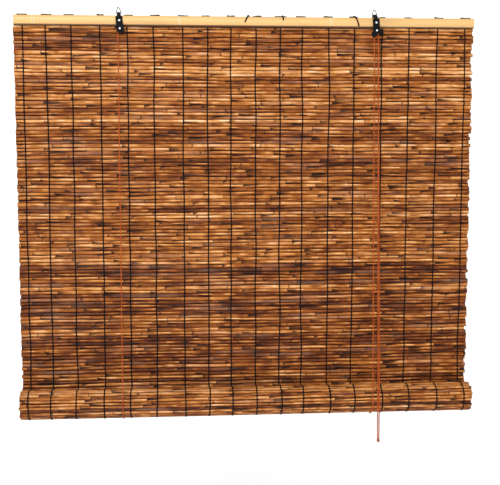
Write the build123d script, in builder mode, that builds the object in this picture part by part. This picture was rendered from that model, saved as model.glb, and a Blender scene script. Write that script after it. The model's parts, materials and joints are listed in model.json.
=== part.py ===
from build123d import *
import os
from math import cos, degrees, floor, pi, radians, sin, tan

os.makedirs("parts", exist_ok=True)

# A reed roll-up blind, hung by two rings. Millimetres, +Z up, +X along the rail, front towards -Y.
# The origin is midway between the two points where the rings bear on their hooks.

# ---- driving dimensions -------------------------------------------------------------------

# mat
MAT_WIDTH = 894.0
REED_D = 6.6
REED_PITCH = 7.0
ROLL_DROP = 739.0            # from the rail's lower edge to the roll's axis
ROLL_RADIUS = 31.0
LAYER_STEP = 8.0             # how much the outer turn lies outside the next one
THREAD_WIDTH = 1.3
THREAD_DEPTH = 0.8
THREAD_EDGE = 13.0           # from the mat's side edge to the first and last thread
# spaces between neighbouring threads, as shares of the mat's width between the outer two
THREAD_SPACES = [44, 48, 55, 52, 51, 56, 48, 45, 49, 48, 44, 53, 50, 55, 54, 57, 56]

# rails
RAIL_LENGTH = 900.0
RAIL_HEIGHT = 19.0
FRONT_RAIL_DEPTH = 9.0
FRONT_RAIL_EDGE = 4.5        # depth left at the long edges of the half round
REAR_RAIL_DEPTH = 6.0
RAIL_ROUND = 1.0
PIN_D = 1.6
PIN_HEAD_D = 3.6
PIN_HEAD_T = 0.7
PIN_BITE = 5.0               # how far a pin goes into the front rail
PIN_COUNT = 5
PIN_MARGIN = 36.0            # from the rail's end to its first pin

# hanger blocks
RING_X = 250.8               # each ring, from the middle of the rail
BLOCK_LEAN = 4.5             # degrees, foot of each block towards +X
WIRE_D = 1.4
RING_DROP = 10.2             # from the bearing point down to the middle of the ring's bar
RING_SIDE_LEAN = 21.0        # degrees
RING_TOP_R = 1.8
RING_CORNER_R = 1.0
STRAP_T = 1.0
STRAP_WIDTH = 13.5
STRAP_NECK_WIDTH = 7.2
STRAP_TONGUE_WIDTH = 7.0
STRAP_CORNER_R = 1.2
STRAP_PLATE_DROP = 1.5       # from the rail's top down to the strap's wide plate
OVERLAP = 2.0                # how far a strap's plain outlines reach into each other
ROOF_SLOPE = 26.0            # degrees, the strap's two slopes over the rail
SHOULDER_R = 1.4
SHOULDER_RISE = 1.2          # the strap's shoulder above the rail's top
PLATE_FOOT = 18.0            # from the rail's top down to where the strap narrows to its tongue
STRAP_RIVET_D = 3.0
STRAP_RIVET_HEAD_D = 5.6
AXLE_D = 2.4
AXLE_HEAD_D = 4.6
RIVET_HEAD_T = 1.1

# pulleys and lock
PLATE_T = 0.9
WHEEL_RIM_R = 5.2
WHEEL_WIDTH = 6.4
GROOVE_SPACING = 3.0         # between the two grooves of the lock's wheel
CAGE_WIDTH = 14.2
CAGE_RISE = 6.6              # cage plate above the axle
CAGE_FOOT = 8.2              # cage plate below the axle
CAGE_CUT = 3.0               # the cage's cut corner
CAGE_LEAN = 6.0              # degrees
CAGE_TOP_R = 1.5
WEB_GAP = 0.5                # from the axle's height down to a cage's side web
LOCK_LEFT = 9.5              # lock plate, to each side of its axle
LOCK_RIGHT = 12.0
LOCK_FOOT = 12.0
LOCK_NOTCH_WIDTH = 9.0
LOCK_NOTCH_HEIGHT = 5.5
LOCK_NOTCH_SHIFT = -2.0      # the notch's middle, from the plate's
LOCK_FOOT_R = 0.8
LOCK_WEB_TOP = 3.0           # from the axle's height down to the lock's side web
LOCK_WEB_FOOT = 1.0          # from the plate's foot up to the web
LOCK_LEAN = 14.0             # degrees
PAWL_X = 8.6                 # pawl pin, from the axle
PAWL_Z = -4.0
PAWL_R = 2.1
PAWL_LENGTH = 6.2
PAWL_TEETH = 4
PAWL_PIN_D = 1.6
PAWL_PIN_HEAD_D = 2.8
PAWL_PIN_HEAD_T = 0.5
PAWL_ARM_WIDTH = 2.4
PAWL_ARM_SHIFT = 0.6         # the arm's middle, from the pin
TOOTH_SPACING = 1.1
TOOTH_SIZE = 0.8
TOOTH_SHIFT = -0.7           # the teeth's middles, from the pin
FIRST_TOOTH = 2.4            # from the pin down to the first tooth

# cords
CORD_D = 2.3
CORD_GUIDE_FOOT = 10.0       # where a lock's cords leave it, below its axle
CORD_TIE_DROP = 6.0          # where a tied cord has turned down, below its eye
EYE_D = 3.0
KNOT_D = 6.0
LEFT_BIGHT_X = -250.0
RIGHT_BIGHT_X = 246.5
PULL_FORWARD = 1.3           # pull cords, in front of the lift cords at the roll
PULL_TOP_GAP = 4.0           # above the highest place of the roll
PULL_TAIL = 77.0             # from the roll's axis down to the pull cords' knot
PULL_SPREAD = {"a": 2.2, "b": -2.0}      # across, at the height of the roll's axis
KNOT_GAP = 2.6               # between the pull cords' middles, where they meet the knot
KNOT_LENGTH = 7.2
TIE_KNOT_D = 4.8
TIE_KNOT_T = 4.2

# clearances
CROSS_CORD_GAP = 0.6         # between the rail's foot and the cord that runs along under it
FIT = 0.1                    # faces that lie on each other, all round
RUNNING = 0.05               # a pin in its hole, on the radius
CLEAR = 0.3                  # soft and curved surfaces that pass each other

# motion
ROLL_TRAVEL = 650.0          # from here up to just under the lock

# ---- derived places -----------------------------------------------------------------------

REED_R = REED_D / 2
CORD_R = CORD_D / 2
SANDWICH = FRONT_RAIL_DEPTH + 2 * FIT + REED_D + REAR_RAIL_DEPTH
FRONT_Y = -SANDWICH / 2
BACK_Y = SANDWICH / 2
MAT_Y = FRONT_Y + FRONT_RAIL_DEPTH + FIT + REED_R
THREAD_FRONT_Y = MAT_Y - REED_R - FIT - THREAD_DEPTH
THREAD_REAR_Y = MAT_Y + REED_R + FIT

LOOP_R = WIRE_D / 2 + FIT + STRAP_T / 2
STRAP_FRONT_Y = FRONT_Y - FIT - STRAP_T / 2
STRAP_REAR_Y = BACK_Y + FIT + STRAP_T / 2
ROOF_TOP_Z = -RING_DROP + LOOP_R / cos(radians(ROOF_SLOPE))
SHOULDER_Z = ROOF_TOP_Z - STRAP_REAR_Y * tan(radians(ROOF_SLOPE))
RAIL_TOP_Z = SHOULDER_Z - SHOULDER_RISE
RAIL_MID_Z = RAIL_TOP_Z - RAIL_HEIGHT / 2
RAIL_FOOT_Z = RAIL_TOP_Z - RAIL_HEIGHT

GROOVE_R = WHEEL_RIM_R - CORD_R + FIT      # radius of a cord's middle round its wheel
AXLE_DROP = -RAIL_FOOT_Z + GROOVE_R + CORD_R + CROSS_CORD_GAP
TONGUE_FOOT = AXLE_DROP + STRAP_TONGUE_WIDTH / 2
WHEEL_FRONT_Y = STRAP_FRONT_Y + STRAP_T / 2 + FIT
WHEEL_REAR_Y = WHEEL_FRONT_Y + WHEEL_WIDTH
WHEEL_MID_Y = (WHEEL_FRONT_Y + WHEEL_REAR_Y) / 2
CAGE_FRONT_Y = STRAP_FRONT_Y - STRAP_T / 2 - FIT - PLATE_T
CAGE_REAR_Y = WHEEL_REAR_Y + FIT

# the mat: two reeds between the rails, above and below the rivets, then evenly spaced ones
REED_SLIT = STRAP_RIVET_D + 2.0
TOP_REED_Z = RAIL_MID_Z + REED_SLIT / 2 + REED_R
SECOND_REED_Z = RAIL_MID_Z - REED_SLIT / 2 - REED_R
ROLL_Z = RAIL_FOOT_Z - ROLL_DROP
REED_COUNT = floor((SECOND_REED_Z - ROLL_Z) / REED_PITCH)
REED_STEP = (SECOND_REED_Z - ROLL_Z) / REED_COUNT
UPPER_FOOT_Z = ROLL_Z + ROLL_TRAVEL + ROLL_RADIUS
ROLL_Y = MAT_Y - (ROLL_RADIUS - REED_R)
BIGHT_R = ROLL_RADIUS + CLEAR + CORD_R
PULL_Y = ROLL_Y - BIGHT_R - PULL_FORWARD
PULL_TOP_Z = UPPER_FOOT_Z + PULL_TOP_GAP
PULL_FOOT_Z = ROLL_Z - PULL_TAIL


def block_plane(ring_x, y):
    """The plane of a leaning hanger block at depth y: local x across it, local y up it."""
    lean = radians(BLOCK_LEAN)
    return Plane(origin=(ring_x, y, 0), x_dir=(cos(lean), 0, sin(lean)), z_dir=(0, -1, 0))


def block_point(ring_x, drop):
    """The place, as x and z, a distance down the middle of a hanger block."""
    lean = radians(BLOCK_LEAN)
    return ring_x + drop * sin(lean), -drop * cos(lean)


def cage_plane(ring_x, lean_degrees, y):
    """The plane of a pulley cage at depth y, with its origin on the axle."""
    x, z = block_point(ring_x, AXLE_DROP)
    lean = radians(lean_degrees)
    return Plane(origin=(x, y, z), x_dir=(cos(lean), 0, sin(lean)), z_dir=(0, -1, 0))


def save(part, name):
    """Label one finished piece and write it as its own file."""
    part.label = name
    export_step(part, f"parts/{name}.step")


SIDES = {"left": -RING_X, "right": RING_X}

# ---- rails --------------------------------------------------------------------------------

PIN_SPACING = (RAIL_LENGTH - 2 * PIN_MARGIN) / (PIN_COUNT - 1)
PIN_LINE = [(i - (PIN_COUNT - 1) / 2) * PIN_SPACING for i in range(PIN_COUNT)]
RIVET_DROP = -RAIL_MID_Z / cos(radians(BLOCK_LEAN))
RIVET_X = [block_point(x, RIVET_DROP)[0] for x in SIDES.values()]

with BuildPart() as front_rail:
    with BuildSketch(Plane.YZ.offset(-RAIL_LENGTH / 2)) as front_section:
        with BuildLine():
            back_y = FRONT_Y + FRONT_RAIL_DEPTH
            edge_y = back_y - FRONT_RAIL_EDGE
            Polyline((edge_y, RAIL_TOP_Z), (back_y, RAIL_TOP_Z), (back_y, RAIL_FOOT_Z), (edge_y, RAIL_FOOT_Z))
            ThreePointArc((edge_y, RAIL_FOOT_Z), (FRONT_Y, RAIL_MID_Z), (edge_y, RAIL_TOP_Z))
        make_face()
        fillet(front_section.vertices().group_by(Axis.X)[0], RAIL_ROUND)
    extrude(amount=RAIL_LENGTH)
    with BuildSketch(Plane.XZ.offset(-BACK_Y)):
        with Locations(*[(x, RAIL_MID_Z) for x in RIVET_X]):
            Circle(STRAP_RIVET_D / 2 + RUNNING)
    extrude(amount=2 * BACK_Y + STRAP_T, mode=Mode.SUBTRACT)
    with BuildSketch(Plane.XZ.offset(-BACK_Y)):
        with Locations(*[(x, RAIL_MID_Z) for x in PIN_LINE]):
            Circle(PIN_D / 2 + RUNNING)
    extrude(amount=BACK_Y - back_y + PIN_BITE + FIT, mode=Mode.SUBTRACT)
save(front_rail.part, "front_rail")

with BuildPart() as rear_rail:
    with BuildSketch(Plane.YZ.offset(-RAIL_LENGTH / 2)) as rear_section:
        with Locations((BACK_Y - REAR_RAIL_DEPTH / 2, RAIL_MID_Z)):
            Rectangle(REAR_RAIL_DEPTH, RAIL_HEIGHT)
        fillet(rear_section.vertices().group_by(Axis.X)[-1], RAIL_ROUND)
    extrude(amount=RAIL_LENGTH)
    with BuildSketch(Plane.XZ.offset(-BACK_Y)):
        with Locations(*[(x, RAIL_MID_Z) for x in RIVET_X]):
            Circle(STRAP_RIVET_D / 2 + RUNNING)
        with Locations(*[(x, RAIL_MID_Z) for x in PIN_LINE]):
            Circle(PIN_D / 2 + RUNNING)
    extrude(amount=REAR_RAIL_DEPTH, mode=Mode.SUBTRACT)
save(rear_rail.part, "rear_rail")

with BuildPart() as rail_pins:
    with BuildSketch(Plane.XZ.offset(-BACK_Y)):
        with Locations(*[(x, RAIL_MID_Z) for x in PIN_LINE]):
            Circle(PIN_D / 2)
    extrude(amount=BACK_Y - back_y + PIN_BITE)
    with BuildSketch(Plane.XZ.offset(-BACK_Y)):
        with Locations(*[(x, RAIL_MID_Z) for x in PIN_LINE]):
            Circle(PIN_HEAD_D / 2)
    extrude(amount=-PIN_HEAD_T)
save(rail_pins.part, "rail_pins")

# ---- mat ----------------------------------------------------------------------------------

reed_heights = [TOP_REED_Z, SECOND_REED_Z]
reed_heights += [SECOND_REED_Z - REED_STEP * i for i in range(1, REED_COUNT)]
upper_heights = [z for z in reed_heights if z - REED_R > UPPER_FOOT_Z]
lower_heights = [z for z in reed_heights if z - REED_R <= UPPER_FOOT_Z]

with BuildPart() as upper_reeds:
    with BuildSketch(Plane.YZ.offset(-MAT_WIDTH / 2)):
        with Locations(*[(MAT_Y, z) for z in upper_heights]):
            Circle(REED_R)
    extrude(amount=MAT_WIDTH)
save(upper_reeds.part, "upper_reeds")

with BuildPart() as hanging_reeds:
    with BuildSketch(Plane.YZ.offset(-MAT_WIDTH / 2)):
        with Locations(*[(MAT_Y, z) for z in lower_heights]):
            Circle(REED_R)
    extrude(amount=MAT_WIDTH)
save(hanging_reeds.part, "hanging_reeds")


def rolled_reed_places():
    """The reeds of the roll's outer turn, from where the mat meets it at the back, round under it.

    The lower half is round. Over the top the turn closes in by one layer.
    """
    places = []
    turn = 0.0
    while turn < 360.0:
        closing = max(0.0, turn - 180.0) / 180.0
        radius = ROLL_RADIUS - REED_R - LAYER_STEP * closing
        places.append((ROLL_Y + radius * cos(radians(turn)), ROLL_Z - radius * sin(radians(turn))))
        turn += degrees(REED_PITCH / radius)
    return places


rolled_places = rolled_reed_places()

with BuildPart() as rolled_mat:
    with BuildSketch(Plane.YZ.offset(-MAT_WIDTH / 2)):
        with BuildLine():
            Polyline(*rolled_places, close=True)
        make_face()
        with Locations(*rolled_places):
            Circle(REED_R)
    extrude(amount=MAT_WIDTH)
save(rolled_mat.part, "rolled_mat")

THREAD_SPAN = MAT_WIDTH - 2 * THREAD_EDGE
thread_places = [-THREAD_SPAN / 2]
for space in THREAD_SPACES:
    thread_places.append(thread_places[-1] + THREAD_SPAN * space / sum(THREAD_SPACES))
THREAD_TOP_Z = RAIL_FOOT_Z - CLEAR
THREAD_FOOT_Z = lower_heights[-1] - REED_R

for number, thread_x in enumerate(thread_places, start=1):
    with BuildPart() as warp_thread:
        with BuildSketch(Plane.XY.offset(THREAD_FOOT_Z)):
            with Locations(
                (thread_x, THREAD_FRONT_Y + THREAD_DEPTH / 2), (thread_x, THREAD_REAR_Y + THREAD_DEPTH / 2)
            ):
                Rectangle(THREAD_WIDTH, THREAD_DEPTH)
        extrude(amount=THREAD_TOP_Z - THREAD_FOOT_Z)
    save(warp_thread.part, f"warp_thread_{number:02d}")

# ---- hanger rings, straps and rivets --------------------------------------------------------

for side, ring_x in SIDES.items():
    wire_top = WIRE_D / 2
    peak = wire_top + RING_TOP_R * (1 / sin(radians(RING_SIDE_LEAN)) - 1)
    half_bar = (peak + RING_DROP) * tan(radians(RING_SIDE_LEAN))
    with BuildPart() as ring:
        with BuildLine(block_plane(ring_x, 0)) as ring_line:
            FilletPolyline(
                (half_bar, -RING_DROP), (0, peak), (-half_bar, -RING_DROP),
                radius=[RING_CORNER_R, RING_TOP_R, RING_CORNER_R],
                close=True,
            )
        ring_wire = ring_line.wires()[0]
        with BuildSketch(Plane(ring_wire @ 0, z_dir=ring_wire % 0)):
            Circle(WIRE_D / 2)
        sweep(path=ring_wire)
    save(ring.part, f"{side}_ring")

    with BuildPart() as strap:
        across = Plane(
            origin=(ring_x, 0, 0), x_dir=(0, 1, 0), z_dir=block_plane(ring_x, 0).x_dir
        )
        with BuildSketch(across):
            with BuildLine() as strap_line:
                FilletPolyline(
                    (STRAP_FRONT_Y, -TONGUE_FOOT), (STRAP_FRONT_Y, SHOULDER_Z), (0, ROOF_TOP_Z),
                    (STRAP_REAR_Y, SHOULDER_Z), (STRAP_REAR_Y, -TONGUE_FOOT),
                    radius=[SHOULDER_R, LOOP_R, SHOULDER_R],
                )
                offset(amount=STRAP_T / 2, side=Side.BOTH, kind=Kind.ARC)
            make_face()
        extrude(amount=STRAP_WIDTH / 2, both=True)
        plate_top = RAIL_TOP_Z - STRAP_PLATE_DROP
        plate_foot = RAIL_TOP_Z - PLATE_FOOT
        with BuildSketch(block_plane(ring_x, BACK_Y + 2 * STRAP_T)) as outline:
            with Locations((0, (plate_top + plate_foot) / 2)):
                RectangleRounded(STRAP_WIDTH, plate_top - plate_foot, STRAP_CORNER_R)
            with Locations((0, plate_top / 2)):
                Rectangle(STRAP_NECK_WIDTH, -plate_top + OVERLAP)
            with Locations((0, (plate_foot - AXLE_DROP) / 2)):
                Rectangle(STRAP_TONGUE_WIDTH, AXLE_DROP + plate_foot + OVERLAP)
            with Locations((0, -AXLE_DROP)):
                Circle(STRAP_TONGUE_WIDTH / 2)
            with Locations((0, -RIVET_DROP)):
                Circle(STRAP_RIVET_D / 2 + RUNNING, mode=Mode.SUBTRACT)
        extrude(amount=2 * BACK_Y + 4 * STRAP_T, mode=Mode.INTERSECT)
        with BuildSketch(block_plane(ring_x, 0)):
            with Locations((0, -AXLE_DROP)):
                Circle(AXLE_D / 2 + RUNNING)
        extrude(amount=BACK_Y + 2 * STRAP_T, mode=Mode.SUBTRACT)
        with BuildSketch(block_plane(ring_x, 0)):
            with Locations((0, -AXLE_DROP)):
                Circle(EYE_D / 2)
        extrude(amount=-(BACK_Y + 2 * STRAP_T), mode=Mode.SUBTRACT)
    save(strap.part, f"{side}_strap")

    with BuildPart() as strap_rivet:
        rivet_front_y = STRAP_FRONT_Y - STRAP_T / 2
        rivet_rear_y = STRAP_REAR_Y + STRAP_T / 2
        with BuildSketch(block_plane(ring_x, rivet_rear_y)):
            with Locations((0, -RIVET_DROP)):
                Circle(STRAP_RIVET_D / 2)
        extrude(amount=rivet_rear_y - rivet_front_y)
        for head_y, way in ((rivet_front_y, 1), (rivet_rear_y, -1)):
            with BuildSketch(block_plane(ring_x, head_y)):
                with Locations((0, -RIVET_DROP)):
                    Circle(STRAP_RIVET_HEAD_D / 2)
            extrude(amount=way * RIVET_HEAD_T, taper=25)
    save(strap_rivet.part, f"{side}_strap_rivet")

    with BuildPart() as axle:
        axle_front_y = CAGE_FRONT_Y
        axle_rear_y = CAGE_REAR_Y + PLATE_T
        with BuildSketch(block_plane(ring_x, axle_rear_y)):
            with Locations((0, -AXLE_DROP)):
                Circle(AXLE_D / 2)
        extrude(amount=axle_rear_y - axle_front_y)
        with BuildSketch(block_plane(ring_x, axle_front_y)):
            with Locations((0, -AXLE_DROP)):
                Circle(AXLE_HEAD_D / 2)
        extrude(amount=RIVET_HEAD_T * 0.8, taper=25)
    save(axle.part, f"{side}_axle_rivet")

# ---- pulley wheels ----------------------------------------------------------------------------

groove_lines = {"left": [0.0], "right": [-GROOVE_SPACING / 2, GROOVE_SPACING / 2]}

for side, ring_x in SIDES.items():
    axle_x, axle_z = block_point(ring_x, AXLE_DROP)
    with BuildPart() as wheel:
        with BuildSketch(Plane.XZ.offset(-WHEEL_REAR_Y)):
            with Locations((axle_x, axle_z)):
                Circle(WHEEL_RIM_R)
                Circle(AXLE_D / 2 + RUNNING, mode=Mode.SUBTRACT)
        extrude(amount=WHEEL_WIDTH)
        for groove_y in groove_lines[side]:
            groove_plane = Plane(origin=(axle_x, WHEEL_MID_Y + groove_y, axle_z), z_dir=(0, -1, 0))
            with BuildSketch(Plane(groove_plane.origin, x_dir=(1, 0, 0), z_dir=(0, 0, 1))):
                with Locations((GROOVE_R, 0)):
                    Circle(CORD_R + FIT)
                with Locations((GROOVE_R + CORD_D, 0)):
                    Rectangle(2 * CORD_D, CORD_D + 2 * FIT)
            revolve(axis=Axis(groove_plane.origin, (0, 1, 0)), mode=Mode.SUBTRACT)
    save(wheel.part, f"{side}_wheel")

# ---- left pulley cage ---------------------------------------------------------------------------

REAR_PLATE_TOP = WHEEL_RIM_R
left_x = SIDES["left"]

with BuildPart() as left_cage:
    with BuildSketch(cage_plane(left_x, CAGE_LEAN, CAGE_FRONT_Y + PLATE_T)) as face:
        with Locations((0, (CAGE_RISE - CAGE_FOOT) / 2)):
            Rectangle(CAGE_WIDTH, CAGE_RISE + CAGE_FOOT)
        chamfer(face.vertices().group_by(Axis.Y)[0].sort_by(Axis.X)[0], CAGE_CUT)
        fillet(face.vertices().group_by(Axis.Y)[-1], CAGE_TOP_R)
    extrude(amount=PLATE_T)
    with BuildSketch(cage_plane(left_x, CAGE_LEAN, CAGE_REAR_Y + PLATE_T)):
        Circle(REAR_PLATE_TOP)
        with Locations((CAGE_WIDTH / 4, -CAGE_FOOT / 2)):
            Rectangle(CAGE_WIDTH / 2, CAGE_FOOT)
    extrude(amount=PLATE_T)
    with BuildSketch(cage_plane(left_x, CAGE_LEAN, CAGE_REAR_Y + PLATE_T)):
        with Locations((CAGE_WIDTH / 2 - PLATE_T / 2, -CAGE_FOOT / 2 - WEB_GAP)):
            Rectangle(PLATE_T, CAGE_FOOT - 2 * WEB_GAP)
    extrude(amount=CAGE_REAR_Y + 2 * PLATE_T - (CAGE_FRONT_Y + PLATE_T))
    with BuildSketch(cage_plane(left_x, CAGE_LEAN, BACK_Y)):
        Circle(AXLE_D / 2 + RUNNING)
    extrude(amount=BACK_Y - CAGE_FRONT_Y + PLATE_T, mode=Mode.SUBTRACT)
save(left_cage.part, "left_pulley_cage")

# ---- cord lock ------------------------------------------------------------------------------------

lock_x = SIDES["right"]
LOCK_WIDTH = LOCK_LEFT + LOCK_RIGHT
LOCK_MID = (LOCK_RIGHT - LOCK_LEFT) / 2
NOTCH_MID = LOCK_MID + LOCK_NOTCH_SHIFT
WEB_HEIGHT = LOCK_FOOT - LOCK_WEB_TOP - LOCK_WEB_FOOT

with BuildPart() as lock_housing:
    with BuildSketch(cage_plane(lock_x, LOCK_LEAN, CAGE_FRONT_Y + PLATE_T)) as lock_face:
        with Locations((0, CAGE_RISE / 2)):
            Rectangle(CAGE_WIDTH, CAGE_RISE)
        with Locations((LOCK_MID, -LOCK_FOOT / 2)):
            Rectangle(LOCK_WIDTH, LOCK_FOOT)
        with Locations((NOTCH_MID, -LOCK_FOOT + LOCK_NOTCH_HEIGHT / 2)):
            Rectangle(LOCK_NOTCH_WIDTH, LOCK_NOTCH_HEIGHT, mode=Mode.SUBTRACT)
        fillet(lock_face.vertices().group_by(Axis.Y)[-1], CAGE_TOP_R)
        fillet(lock_face.vertices().group_by(Axis.Y)[0], LOCK_FOOT_R)
    extrude(amount=PLATE_T)
    with BuildSketch(cage_plane(lock_x, LOCK_LEAN, CAGE_REAR_Y + PLATE_T)) as lock_back:
        Circle(REAR_PLATE_TOP)
        with Locations((LOCK_MID, -LOCK_FOOT / 2 - WEB_GAP)):
            Rectangle(LOCK_WIDTH, LOCK_FOOT - 2 * WEB_GAP)
        with Locations((NOTCH_MID, -LOCK_FOOT + LOCK_NOTCH_HEIGHT / 2)):
            Rectangle(LOCK_NOTCH_WIDTH, LOCK_NOTCH_HEIGHT, mode=Mode.SUBTRACT)
        fillet(lock_back.vertices().group_by(Axis.Y)[0], LOCK_FOOT_R)
    extrude(amount=PLATE_T)
    with BuildSketch(cage_plane(lock_x, LOCK_LEAN, CAGE_REAR_Y + PLATE_T)):
        with Locations((LOCK_RIGHT - PLATE_T / 2, -LOCK_WEB_TOP - WEB_HEIGHT / 2)):
            Rectangle(PLATE_T, WEB_HEIGHT)
    extrude(amount=CAGE_REAR_Y + 2 * PLATE_T - (CAGE_FRONT_Y + PLATE_T))
    with BuildSketch(cage_plane(lock_x, LOCK_LEAN, BACK_Y)):
        Circle(AXLE_D / 2 + RUNNING)
        with Locations((PAWL_X, PAWL_Z)):
            Circle(PAWL_PIN_D / 2 + RUNNING)
    extrude(amount=BACK_Y - CAGE_FRONT_Y + PLATE_T, mode=Mode.SUBTRACT)
save(lock_housing.part, "lock_housing")

with BuildPart() as pawl:
    pawl_front_y = CAGE_FRONT_Y + PLATE_T + 2 * FIT
    pawl_width = CAGE_REAR_Y - 2 * FIT - pawl_front_y
    with BuildSketch(cage_plane(lock_x, LOCK_LEAN, pawl_front_y + pawl_width)) as pawl_face:
        with Locations((PAWL_X, PAWL_Z)):
            Circle(PAWL_R)
        with Locations((PAWL_X + PAWL_ARM_SHIFT, PAWL_Z - PAWL_LENGTH / 2)):
            Rectangle(PAWL_ARM_WIDTH, PAWL_LENGTH - PAWL_R)
        for tooth in range(PAWL_TEETH):
            with Locations((PAWL_X + TOOTH_SHIFT, PAWL_Z - FIRST_TOOTH - tooth * TOOTH_SPACING)):
                Rectangle(TOOTH_SIZE, TOOTH_SIZE, rotation=45)
        with Locations((PAWL_X, PAWL_Z)):
            Circle(PAWL_PIN_D / 2 + RUNNING, mode=Mode.SUBTRACT)
    extrude(amount=pawl_width)
save(pawl.part, "lock_pawl")

with BuildPart() as pawl_pin:
    with BuildSketch(cage_plane(lock_x, LOCK_LEAN, CAGE_REAR_Y + PLATE_T)):
        with Locations((PAWL_X, PAWL_Z)):
            Circle(PAWL_PIN_D / 2)
    extrude(amount=CAGE_REAR_Y + PLATE_T - CAGE_FRONT_Y)
    with BuildSketch(cage_plane(lock_x, LOCK_LEAN, CAGE_FRONT_Y)):
        with Locations((PAWL_X, PAWL_Z)):
            Circle(PAWL_PIN_HEAD_D / 2)
    extrude(amount=PAWL_PIN_HEAD_T)
save(pawl_pin.part, "lock_pawl_pin")

# ---- cords ------------------------------------------------------------------------------------------


def cord(name, pieces):
    """A cord's solid along a path of lines and arcs, with its volume beside section times length."""
    with BuildPart() as tube:
        with BuildLine() as path:
            for piece in pieces:
                add(piece)
        with BuildSketch(Plane(path.wires()[0] @ 0, z_dir=path.wires()[0] % 0)):
            Circle(CORD_R)
        sweep(path=path.wires()[0])
    length = path.wires()[0].length
    share = tube.part.volume / (length * pi * CORD_R**2)
    print(f"{name}: length {length:.1f}, volume / (section x length) {share:.4f}")
    save(tube.part, name)


def straight(start, end):
    """A straight run that stops FIT short of the pieces it meets at both ends."""
    start, end = Vector(start), Vector(end)
    short = (end - start).normalized() * FIT
    return Line(start + short, end - short, mode=Mode.PRIVATE)


left_axle_x, left_axle_z = block_point(SIDES["left"], AXLE_DROP)
lock_axle_x, lock_axle_z = block_point(SIDES["right"], AXLE_DROP)
HEAD_FOOT = 3.0                              # a wheel's cord starts this far below the axle
lift_groove_y = {"left": WHEEL_MID_Y, "right": WHEEL_MID_Y - GROOVE_SPACING / 2}
cross_groove_y = WHEEL_MID_Y + GROOVE_SPACING / 2
bight_x = {"left": LEFT_BIGHT_X, "right": RIGHT_BIGHT_X}
FRONT_RUN_Y = ROLL_Y - BIGHT_R
REAR_RUN_Y = ROLL_Y + BIGHT_R

for side, ring_x in SIDES.items():
    axle_x, axle_z = block_point(ring_x, AXLE_DROP)
    up_x = axle_x - GROOVE_R
    groove_y = lift_groove_y[side]
    cord(
        f"{side}_front_run",
        [straight((bight_x[side], FRONT_RUN_Y, ROLL_Z), (up_x, groove_y, axle_z - HEAD_FOOT))],
    )
    under = ThreePointArc(
        (bight_x[side], FRONT_RUN_Y, ROLL_Z),
        (bight_x[side], ROLL_Y, ROLL_Z - BIGHT_R),
        (bight_x[side], REAR_RUN_Y, ROLL_Z),
        mode=Mode.PRIVATE,
    )
    cord(f"{side}_bight", [under])
    eye_x, eye_z = block_point(ring_x, AXLE_DROP)
    tie_y = BACK_Y - CORD_R - CLEAR
    tie_foot = (eye_x, tie_y, eye_z - CORD_TIE_DROP)
    cord(f"{side}_rear_run", [straight(tie_foot, (bight_x[side], REAR_RUN_Y, ROLL_Z))])

    with BuildPart() as tie:
        knot_y = STRAP_REAR_Y + STRAP_T / 2 + FIT
        with BuildSketch(Plane.XZ.offset(-knot_y)):
            with Locations((eye_x, eye_z)):
                Circle(TIE_KNOT_D / 2)
        extrude(amount=-TIE_KNOT_T, taper=-4)
        fillet(tie.edges().filter_by(GeomType.CIRCLE).sort_by(Axis.Y)[-1], 1.4)
        with BuildLine() as tie_line:
            FilletPolyline((eye_x, knot_y + 1.0, eye_z), (eye_x, tie_y, eye_z), tie_foot, radius=CORD_D)
        tie_wire = tie_line.wires()[0]
        with BuildSketch(Plane(tie_wire @ 0, z_dir=tie_wire % 0)):
            Circle(CORD_R)
        sweep(path=tie_wire)
    save(tie.part, f"{side}_cord_tie")

# The left cord goes over its wheel, along under the rail and over the lock's wheel.
cross_top_z = left_axle_z + GROOVE_R
lock_top_z = lock_axle_z + GROOVE_R
pull_x = lock_axle_x + GROOVE_R
pull_guide_z = lock_axle_z - CORD_GUIDE_FOOT
cross_path = FilletPolyline(
    (left_axle_x - GROOVE_R, lift_groove_y["left"], left_axle_z - HEAD_FOOT),
    (left_axle_x - GROOVE_R, lift_groove_y["left"], cross_top_z),
    (pull_x, cross_groove_y, lock_top_z),
    (pull_x, cross_groove_y, pull_guide_z),
    radius=GROOVE_R,
    mode=Mode.PRIVATE,
)
cord("cross_cord", [cross_path])

# The right cord goes over the lock's wheel.
right_up_x = lock_axle_x - GROOVE_R
right_y = lift_groove_y["right"]
over_lock = [
    Line((right_up_x, right_y, lock_axle_z - HEAD_FOOT), (right_up_x, right_y, lock_axle_z)),
    ThreePointArc(
        (right_up_x, right_y, lock_axle_z),
        (lock_axle_x, right_y, lock_axle_z + GROOVE_R),
        (pull_x, right_y, lock_axle_z),
        mode=Mode.PRIVATE,
    ),
    Line((pull_x, right_y, lock_axle_z), (pull_x, right_y, pull_guide_z)),
]
cord("right_cord_over_lock", over_lock)

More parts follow.
